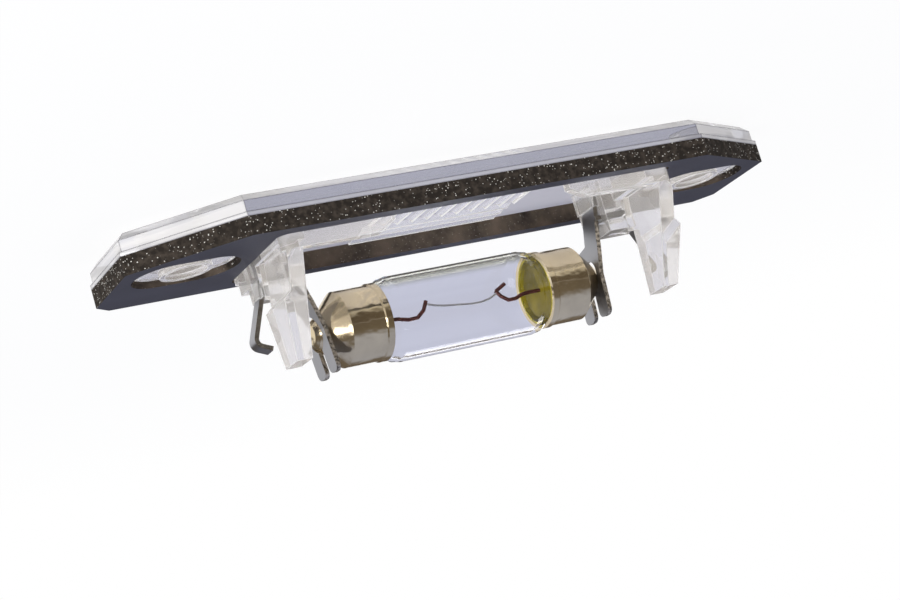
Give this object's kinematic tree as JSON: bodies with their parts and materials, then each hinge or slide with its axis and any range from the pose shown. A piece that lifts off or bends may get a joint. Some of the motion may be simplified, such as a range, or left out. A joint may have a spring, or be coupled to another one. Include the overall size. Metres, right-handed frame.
{
  "type": "number plate lamp",
  "caption": "Number plate lamp with a clear moulded lens, foam gasket, spring contacts and a festoon bulb.",
  "frame": {"origin": "centre of the two screw holes in the plane of the gasket's mounting face", "axes": "+X along the lamp, +Z out of the mounting face towards the car body, lens facing -Z"},
  "size_m": [0.079, 0.0212, 0.0177],
  "materials": {
    "clear_plastic": "clear, polished",
    "foam": "cut foam edges, smooth skin",
    "plated_spring": "plated, with bare cut edges",
    "bulb_glass": "clear",
    "cap_metal": "nickel plated, polished",
    "cement": "matte",
    "lead_wire": "oxidised wire",
    "filament_wire": "bare fine wire"
  },
  "bodies": {
    "root": {"lens": "clear_plastic", "gasket": "foam", "contact_right": "plated_spring", "contact_left": "plated_spring", "bulb_glass": "bulb_glass", "bulb_cap_right": "cap_metal", "bulb_cap_left": "cap_metal", "bulb_cement_right": "cement", "bulb_cement_left": "cement", "lead_wire_right": "lead_wire", "lead_wire_left": "lead_wire", "filament": "filament_wire"}
  },
  "joints": []
}
